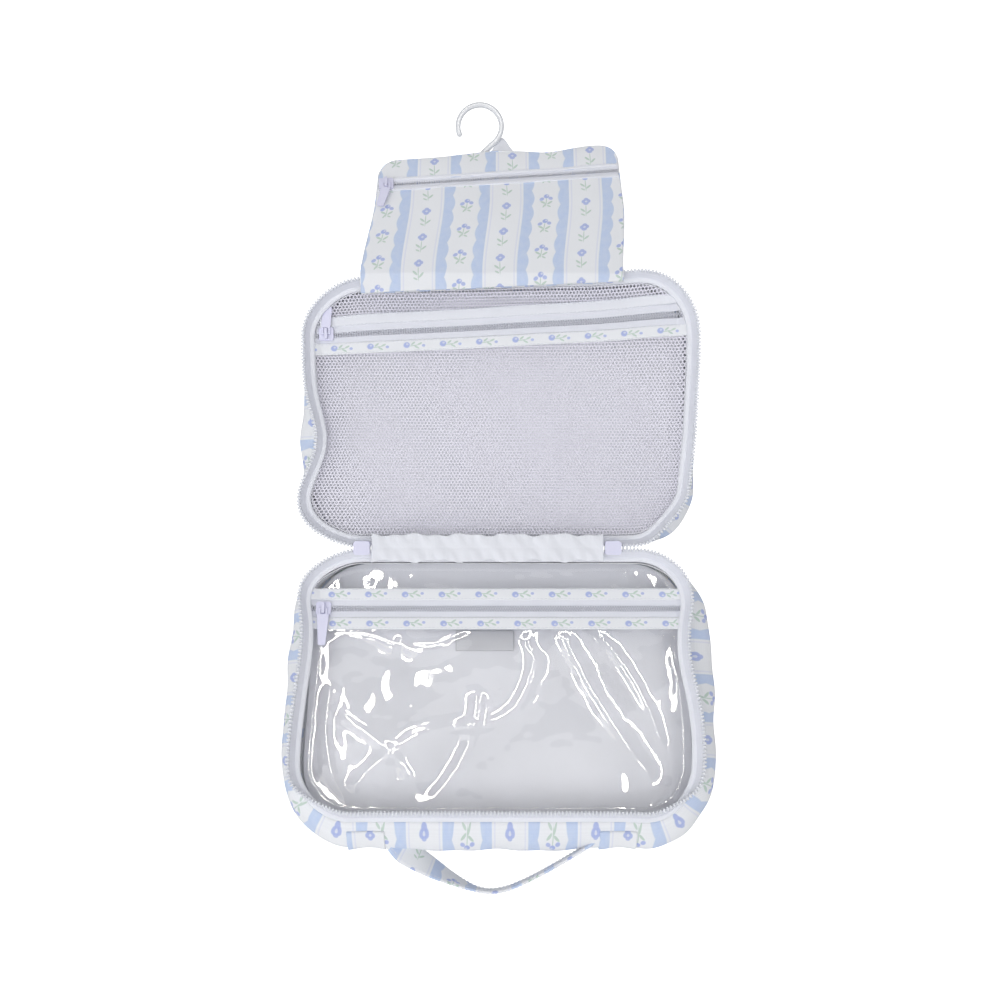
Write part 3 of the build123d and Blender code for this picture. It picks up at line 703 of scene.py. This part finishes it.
def buildBand(cover):
    name = covers[cover]["half"]
    body = f"{name}_half"
    across = lambda u, s, d: place(name, u, s + 1.0, d) - place(name, u, s, d)
    face = half["zipDepth"]
    # two tapes, the coil between them, bindings outside, each a soft flat strip
    for side, label in ((-1, "NearSpine"), (1, "NearRim")):
        u, s = bandPath(cover, side * 4.9)
        d = np.minimum(coverDepth(cover, u, s), face) + 0.35
        piece = addSweep(f"{cover}ZipTape{label}", place(name, u, s, d), across(u, s, d),
                         roundBar(6.6, 0.7, 0.5), tapeCloth)
        finish(piece, body, "white_fabric", *([f"{cover}_zip_tapes"] if side < 0 else []))
        u, s = bandPath(cover, side * 9.9)
        plain = covers[cover]["plain"] and side > 0
        wide = 8.2 if not plain else 7.4
        d = np.minimum(coverDepth(cover, u, s), face) - 0.25 + 0.15 * np.sin(u * 0.16)
        piece = addSweep(f"{cover}Binding{label}", place(name, u, s, d), across(u, s, d),
                         roundBar(wide, 1.3, 0.6), plainCloth if plain else binding, uvOrigin=4.0)
        node = f"{cover}_binding_near_{'spine' if side < 0 else 'rim'}"
        finish(piece, body, "white_fabric" if plain else "floral_binding", node)
        for row in (-3.2, 3.2):
            u, s = bandPath(cover, side * 9.9 + row)
            d = np.minimum(coverDepth(cover, u, s), face) - 0.8 + 0.15 * np.sin(u * 0.16)
            edge = "In" if row * side < 0 else "Out"
            line = addStitches(f"{cover}Stitch{label}{edge}", place(name, u, s, d), across(u, s, d))
            finish(line, body, "white_fabric")
    # coil: a flattened helix on each side of the zip's line, meeting at the middle
    reach = bandPath(cover, 0.0)[0][-1] - 1
    turns = int(2 * reach / 1.7)
    for side, label in ((-1, "A"), (1, "B")):
        t = np.linspace(0, 2 * np.pi * turns, turns * 10)
        u = -reach + 2 * reach * t / t[-1]
        s = zipLine(cover, u) + side * (0.8 + 0.95 * np.cos(t))
        d = np.minimum(coverDepth(cover, u, s), face) - 0.1 + 0.55 * np.sin(t)
        path = place(name, u, s, d)
        helper = np.broadcast_to(place(name, 0.0, 100.0, -1.0) - place(name, 0.0, 100.0, 0.0), path.shape)
        coil = addSweep(f"{cover}ZipCoil{label}", path, helper + 0.3 * across(u, s, d),
                        roundBar(0.62, 0.62, 1.0, 5), coilNylon)
        finish(coil, body, "nylon_coil", *([f"{cover}_zip_coil"] if side < 0 else []))


def buildNet(label, low, high, node):
    # knitted net: staggered six-sided holes, each the inner edge of a six-sided cell of thread
    pitch = dict(net=2.35, hole=0.66)
    r = pitch["net"] / math.sqrt(3)
    u0 = np.arange(-halfWidth, halfWidth, pitch["net"])
    s0 = np.arange(0, halfHeight, 1.5 * r)
    cu = (u0[None] + (np.arange(len(s0)) % 2)[:, None] * pitch["net"] / 2).ravel()
    cs = np.repeat(s0, len(u0))
    beside = cs - zipLine("mesh", cu)
    keep = (insetOf(cu, cs) > half["seam"] + 0.8) & (beside > low) & (beside < high)
    cu, cs = cu[keep], cs[keep]
    angle = np.radians(np.arange(6) * 60 + 30)
    ring = np.concatenate([np.stack([np.cos(angle), np.sin(angle)], -1) * r,
                           np.stack([np.cos(angle), np.sin(angle)], -1) * r * pitch["hole"]])
    gu = cu[:, None] + ring[None, :, 0]
    gs = cs[:, None] + ring[None, :, 1]
    points = place("upper", gu, gs, coverDepth("mesh", gu, gs))
    k = np.arange(6)
    faces = np.stack([k, (k + 1) % 6, (k + 1) % 6 + 6, k + 6], -1)
    faces = (faces[None] + (np.arange(len(cu)) * 12)[:, None, None]).reshape(-1, 4)
    uv = np.stack([gu, gs], -1).reshape(-1, 2)
    net = addMesh(f"net{label}", points.reshape(-1, 3), faces, uv, netCloth)
    return finish(net, "upper_half", "mesh_net", node)


def buildFilm(label, low, high, node):
    rows, cols = (46, 300) if high < 60 else (190, 300)
    t = np.linspace(0, 1, rows)[:, None]
    k = np.linspace(-1, 1, cols)[None]
    s = low + (high - low) * t
    u = edgeSpan(s) * k
    points = place("lower", u, s, coverDepth("window", u, s + 0 * u))
    uv = layOut(u, s)
    sheet = addSurface(f"film{label}", points, uv, vinyl, flip=True)
    return finish(sheet, "lower_half", "clear_film", node)


def buildSpine():
    # puckered strip that joins the halves
    lowU, highU = (boxMm("upper_spine_strip")[k][0] - bagX for k in (0, 1))
    u = np.linspace(lowU, highU, 260)[None]
    v = np.linspace(-1, 1, 28)[:, None]
    reach = 9.0 + 0.7 * np.sin(u * 0.19) + 0.5 * np.sin(u * 0.43 + 1)
    s = np.abs(v) * reach
    pucker = 0.55 * np.sin(u * 0.33 + 2 * v) * (1 - v ** 2) + 0.35 * np.sin(u * 0.81 + 3 * v) * np.abs(v)
    d = 0.9 - 1.1 * (1 - v ** 2) + pucker
    upper = np.stack([bagX + u + 0 * s, spineAt[1] + d, spineAt[2] + s], -1)
    tilt = math.radians(half["lowerTilt"])
    lower = np.stack([bagX + u + 0 * s, spineAt[1] - s * math.sin(tilt) + d * math.cos(tilt),
                      spineAt[2] - s * math.cos(tilt) - d * math.sin(tilt)], -1)
    points = np.where((v > 0)[..., None], upper, lower)
    uv = layOut(u, v * 9)
    strip = addSurface("spineStrip", points, uv, plainCloth, thick=0.8)
    at = spineAt * 0.001
    ends = ((at[0], at[1], at[2] + 0.006), (at[0], at[1] - 0.0015, at[2] - 0.006))
    finish(strip, ("upper_half", "lower_half", *ends), "white_fabric",
           "upper_spine_strip", "lower_spine_strip")


careLabel = dict(left=-30.0, right=10.0, seam=52.0, drop=14.0, deep=30.0, curl=0.5)


def buildLabel():
    # sewn along its upper edge, with a little curl that grows downwards
    u = np.linspace(careLabel["left"], careLabel["right"], 60)[None]
    down = np.linspace(0, careLabel["drop"], 24)[:, None]
    s = careLabel["seam"] + down
    d = careLabel["deep"] - careLabel["curl"] * np.sin(u * 0.12) * down / careLabel["drop"]
    points = place("lower", u, s, d)
    label = addSurface("careLabel", points, layOut(u, s), labelCloth, thick=0.3, flip=True)
    finish(label, "lower_half", "label_fabric", "care_label")


print("shapes ready")
for name in ("upper", "lower"):
    buildWalls(name)
    buildMainZip(name)
    print("walls, tape and teeth:", name)
for cover in covers:
    buildBand(cover)
    print("zip band:", cover)
buildNet("NearSpine", -400, -11, "mesh_panel_near_spine")
buildNet("NearRim", 11, 400, "mesh_panel_near_rim")
buildFilm("NearSpine", 7.0, half["windowZip"] - 8, "window_panel_near_spine")
buildFilm("NearRim", half["windowZip"] + 8, halfHeight - half["seam"] - 0.8, "window_panel_near_rim")
buildSpine()
buildLabel()
print("covers, spine and label made")

# The flap's own frame: x across, t up the panel, y back.
flapZ = flapHinge[2] + flap["strip"]
lean = math.radians(flap["lean"])


flapWaves = [(2.6, -5, 24), (-1.6, 34, 14), (1.8, 68, 20)]  # rises of the top edge: height, place, width


def flapPlace(x, y, t):
    # the panel leans back above its base and hangs straight below it; its cloth droops to the left
    x, y, t = np.broadcast_arrays(x, y, t)
    share = np.clip(t / flap["length"], 0, 1)
    side = np.clip(x / (flap["base"] / 2), -1, 1)
    x = x - 5.0 * (1 - smooth(share * 1.6)) + 1.5 * np.sin(t * 0.05) * (side > 0.6) * (side - 0.6)
    wave = sum(high * np.exp(-((x - at) / wide) ** 2) for high, at, wide in flapWaves)
    t = t + smooth((share - 0.80) / 0.2) * wave
    up, down = np.maximum(t, 0), np.minimum(t, 0)
    turned = lean * smooth((t + 4) / 8)
    return np.stack([bagX + x, flapHinge[1] + y * np.cos(turned) + up * math.sin(lean),
                     flapZ - y * np.sin(turned) + up * math.cos(lean) + down], -1)


def flapHalf(t):
    return flap["base"] / 2 - (flap["base"] - flap["top"]) / 2 * np.clip(t / flap["length"], 0, 1)


def flapZipAt(x):
    return flap["zipAt"] + (x - flap["sliderX"]) * math.tan(math.radians(flap["slope"]))


def flapTopAt(x):
    # the top edge: slanted like the zip, with rounded corners of 12 mm
    edge = flap["top"] / 2
    past = np.clip((np.abs(x) - (edge - 12)) / 12, 0, 1)
    return flap["length"] + x * math.tan(math.radians(flap["slope"])) - 12 * (1 - np.sqrt(1 - past ** 2))


def flapFootAt(x):
    return -9.0 + 4.0 * x / (flap["base"] / 2)


def buildFlapPanel(label, lowAt, highAt, face, puff, shift, node, flip):
    cols, rows = 220, 120
    k = np.linspace(-1, 1, cols)[None]
    v = np.linspace(0, 1, rows)[:, None]
    x = k * flap["base"] / 2
    for _ in range(3):  # the width follows the height, so it is settled in a few passes
        t = lowAt(x) + (highAt(x) - lowAt(x)) * v
        x = k * flapHalf(t)
    edge = np.minimum(1 - np.abs(k), 0.25) * 4
    wrinkle = 0.5 * np.sin(x * 0.06 + t * 0.045) + 0.3 * np.sin(x * 0.13 - t * 0.08)
    wrinkle += 0.54 * np.exp(-((x + 40 - t) / 16) ** 2)
    fullness = puff * np.sin(np.pi * np.clip(v, 0.02, 0.98)) ** 0.5 + np.sign(puff) * wrinkle * 0.7
    y = face + fullness * smooth(edge)
    points = flapPlace(x, y, t)
    uv = np.stack([x + 22.3 - shift, t - x * math.tan(math.radians(flap["slope"]))], -1)
    panel = addSurface(f"flap{label}", points, uv, cotton, thick=0.7, flip=flip)
    at = flapHinge * 0.001
    low, high = (at[0], at[1], at[2] - 0.004), (at[0], at[1], at[2] + 0.006)
    return finish(panel, ("flap", "upper_half", high, low), "printed_fabric", *node)


def buildFlap():
    gap = 3.2
    buildFlapPanel("FrontLower", flapFootAt, lambda x: flapZipAt(x) - gap, -1.3, -1.3, 0.0,
                   ("flap_front_lower", "flap_base_strip", "flap_seam_web"), False)
    buildFlapPanel("FrontUpper", lambda x: flapZipAt(x) + gap, flapTopAt, -1.3, -0.7, 4.0,
                   ("flap_front_upper",), False)
    buildFlapPanel("Back", flapFootAt, flapTopAt, 1.4, 0.8, 20.0, ("flap_back_panel", "flap_stiffener"), True)
    # folded edge round the two sides and the top
    x = np.concatenate([np.full(60, -1.0), np.linspace(-1, 1, 160), np.full(60, 1.0)])
    top = flapTopAt(x * flap["top"] / 2 * 0.999)
    t = np.concatenate([np.linspace(-8, top[60] - 1, 60), top[60:220], np.linspace(top[219] - 1, -4, 60)])
    wide = np.where(np.abs(x) == 1.0, flapHalf(t), flap["top"] / 2)
    path = flapPlace(x * wide, 0.0 * t, t)
    side = np.broadcast_to(flapPlace(0.0, 1.0, 50.0) - flapPlace(0.0, 0.0, 50.0), path.shape)
    hem = addSweep("flapHem", path, side, roundBar(3.4, 1.6, 0.9, 10), cotton)
    finish(hem, "flap", "printed_fabric", "flap_edge_hem")
    # zip: two tapes, folded cloth lips with stitches, and the coil
    x = np.linspace(-flapHalf(72.0) + 0.5, flapHalf(84.0) - 0.5, 200)
    up = np.broadcast_to(flapPlace(0.0, 0.0, 60.0) - flapPlace(0.0, 0.0, 59.0), (200, 3))
    for side, label in ((-1, "Low"), (1, "High")):
        t = flapZipAt(x) + side * 2.7
        tape = addSweep(f"flapZipTape{label}", flapPlace(x, -1.5, t), up, roundBar(3.6, 0.7, 0.5), tapeCloth)
        finish(tape, "flap", "white_fabric", *(["flap_zip_tapes"] if side < 0 else []))
        lipPath = flapPlace(x, -2.1, flapZipAt(x) + side * 4.3)
        lip = addSweep(f"flapZipLip{label}", lipPath, up, roundBar(2.2, 1.5, 0.8), plainCloth)
        finish(lip, "flap", "white_fabric")
        line = addStitches(f"flapZipStitch{label}", flapPlace(x, -2.85, flapZipAt(x) + side * 5.0), up)
        finish(line, "flap", "white_fabric")
    turns = int((x[-1] - x[0]) / 1.7)
    angle = np.linspace(0, 2 * np.pi * turns, turns * 10)
    along = np.linspace(x[0], x[-1], len(angle))
    for side, label in ((-1, "A"), (1, "B")):
        t = flapZipAt(along) + side * (0.65 + 0.8 * np.cos(angle))
        path = flapPlace(along, -1.8 + 0.5 * np.sin(angle), t)
        out = np.broadcast_to(flapPlace(0.0, -1.0, 50.0) - flapPlace(0.0, 0.0, 50.0), path.shape)
        coil = addSweep(f"flapZipCoil{label}", path, out, roundBar(0.6, 0.6, 1.0, 5), coilNylon)
        finish(coil, "flap", "nylon_coil", *(["flap_zip_coil"] if side < 0 else []))
    # cloth tab that carries the hook, with a peak beside it
    x = np.linspace(-16, 26, 60)[None]
    v = np.linspace(0, 1, 50)[:, None]
    peak = flap["length"] - 3 + 15.5 * np.exp(-((x - 15.5) / 7.5) ** 2) + 3.0 * smooth((x - 8) / 10)
    notch = np.exp(-(x / 4.2) ** 8)
    top = peak * (1 - notch) + (flap["length"] - 13) * notch
    t = 60 + (top - 60) * v
    y = 2.7 + 0.3 * np.sin(x * 0.4) * v
    tab = addSurface("hookTab", flapPlace(x - bagX, y, t), layOut(x, t), plainCloth, thick=0.9, flip=True)
    finish(tab, "flap", "white_fabric", "hook_tab")


buildFlap()
print("flap made")


# a sewn strap that hangs in a shallow V, its left run face on and its right run edge on
handle = dict(leftU=-75.5, rightU=66.5, lowU=-5.5, drop=35.0, wide=17.0, thick=2.2, anchor=22.0)


def buildHandle():
    u = np.linspace(handle["leftU"] - 1, handle["rightU"] + 1, 200)
    share = np.where(u < handle["lowU"], (handle["lowU"] - u) / (handle["lowU"] - handle["leftU"]),
                     (u - handle["lowU"]) / (handle["rightU"] - handle["lowU"]))
    share = np.clip(share, 0, 1)
    drop = handle["drop"] * (1 - np.sqrt(share ** 2.6 + 0.006)) / (1 - math.sqrt(0.006)) + 1.0
    sway = 2.0 * np.sin(np.pi * (1 - share))
    path = np.stack([bagX + u, handleAxis[1] + sway, handleAxis[2] - np.maximum(drop, 0.6)], -1)
    # the strap turns about its own line: face forward on the left, edge forward on the right
    turn = np.radians(28 + 77 * smooth((u - handle["leftU"] - 4) / 62))
    pinch = 0.45 + 0.55 * smooth((1 - share) / 0.22)
    side = np.stack([0 * u, np.sin(turn), np.cos(turn)], -1)
    bar = roundBar(handle["wide"], handle["thick"], 0.5, 20)
    profile = bar[None] * np.stack([pinch, np.ones_like(pinch)], -1)[:, None]
    strap = addSweep("handleStrap", path, side, profile, cotton)
    finish(strap, "handle", "printed_fabric", "handle_strap")
    for edge in (-1, 1):
        offset = side * (edge * (handle["wide"] / 2 * pinch - 1.6))[:, None]
        for face, lift in (("Front", -1.2), ("Back", 1.2)):
            where = "Top" if edge > 0 else "Foot"
            line = addStitches(f"handleStitch{face}{where}", path + offset, side, lift=lift)
            finish(line, "handle", "white_fabric")
    # ends sewn flat on the wall
    for label, low, high in (("Left", handle["leftU"] - handle["anchor"], handle["leftU"] + 2),
                             ("Right", handle["rightU"] - 2, handle["rightU"] + handle["anchor"])):
        gu = np.linspace(low, high, 40)[None]
        gd = np.linspace(9.5, 29.0, 30)[:, None]
        gs = halfHeight + 1.0 + wallBulge("lower", 0.0, 1.0, gu, halfHeight, gd + 0 * gu)
        points = place("lower", gu, gs, gd)
        end = addSurface(f"handleEnd{label}", points, layOut(gu, gd), cotton, thick=1.5)
        finish(end, "lower_half", "printed_fabric", *(["handle_anchors"] if label == "Left" else []))


buildHandle()
print("handle made")

# hard parts kept from the frame, given their finish
metalNodes = [f"{zip}_{part}" for zip in ("flap", "mesh", "window") for part in ("slider", "pull")]
metalNodes += [f"main_{part}_{side}" for part in ("slider", "pull") for side in ("left", "right")]
for nodes, material in ((("hook", "swivel_sleeve", "hook_bracket"), hookPlastic), (metalNodes, enamelZinc)):
    for node in nodes:
        frame["nodes"][node].data.materials.clear()
        frame["nodes"][node].data.materials.append(material)

studio = dict(floor=-0.56, dome=5200, above=0.43, below=0.73, key=10.0, front=12.0, streak=14.0)


def addStage():
    material, tree, shader = newMaterial("studioPaper", Roughness=1.0)
    shader.inputs["Base Color"].default_value = linear(colours["floor"])
    shader.inputs["Emission Color"].default_value = (1, 1, 1, 1)
    shader.inputs["Emission Strength"].default_value = 1.0
    # a floor that curves up all round into a white dome
    turn = np.linspace(0, 2 * np.pi, 72)[None]
    rise = np.linspace(-0.5 * np.pi, 0.5 * np.pi, 48)[:, None]
    flat = studio["dome"] * np.cos(rise)
    height = np.maximum(studio["floor"] * 1000, studio["dome"] * np.sin(rise))
    points = np.stack([flat * np.cos(turn), flat * np.sin(turn), height + 0 * turn], -1)
    floor = addSurface("studioDome", points, points[..., :2], material, flip=True)
    floor.visible_diffuse = False
    floor.visible_glossy = False
    floor.visible_shadow = False


def addArea(name, at, aim, size, power, tint=(1, 1, 1)):
    data = bpy.data.lights.new(name, "AREA")
    data.shape = "RECTANGLE"
    data.size, data.size_y = size
    data.energy = power
    data.color = tint
    light = bpy.data.objects.new(name, data)
    bpy.context.scene.collection.objects.link(light)
    light.location = at
    direction = np.array(aim) - np.array(at)
    rise = math.atan2(direction[2], math.hypot(direction[0], direction[1]))
    light.rotation_euler = (math.pi / 2 + rise, 0, math.atan2(-direction[0], direction[1]))
    return light


addStage()
world = bpy.data.worlds.new("studioWorld")
bpy.context.scene.world = world
world.use_nodes = True
sky = world.node_tree
sky.nodes["Background"].inputs[0].default_value = (0.98, 0.985, 1.0, 1)
# the white floor sends back more light than the ceiling
upward = addNode(sky, "SeparateXYZ", {0: addNode(sky, "TexCoord").outputs["Generated"]})
fall = addNode(sky, "MapRange", {"Value": upward.outputs[2], "From Min": -1.0, "From Max": 1.0,
                                 "To Min": studio["below"], "To Max": studio["above"]})
sky.links.new(fall.outputs[0], sky.nodes["Background"].inputs[1])
addArea("key", (-1.0, -1.6, -0.75), (0.0, 0.0, -0.35), (1.2, 1.2), studio["key"])
addArea("front", (0.15, -2.2, -0.4), (0.0, 0.0, -0.35), (2.0, 1.6), studio["front"])
# narrow softboxes that only show as streaks in the glossy film
for name, at, size in (("streakLeft", (-0.38, -1.5, 0.20), (0.10, 0.9)),
                       ("streakRight", (0.46, -1.4, 0.30), (0.10, 0.9)),
                       ("streakHigh", (0.05, -1.1, 0.75), (1.1, 0.10))):
    streak = addArea(name, at, (0.0, -0.06, -0.4), size, studio["streak"], (1, 0.97, 0.9))
    streak.visible_diffuse = False

camera = bpy.data.objects.new("camera", bpy.data.cameras.new("camera"))
bpy.context.scene.collection.objects.link(camera)
camera.location = (0.0145, -0.728, -0.2676)
camera.rotation_euler = (math.pi / 2, 0, 0)
camera.data.sensor_width = 36.0
camera.data.lens = 36.576
camera.data.clip_start = 0.01
bpy.context.scene.camera = camera
bpy.context.scene.view_settings.view_transform = "Standard"
print("stage, lights and camera set")
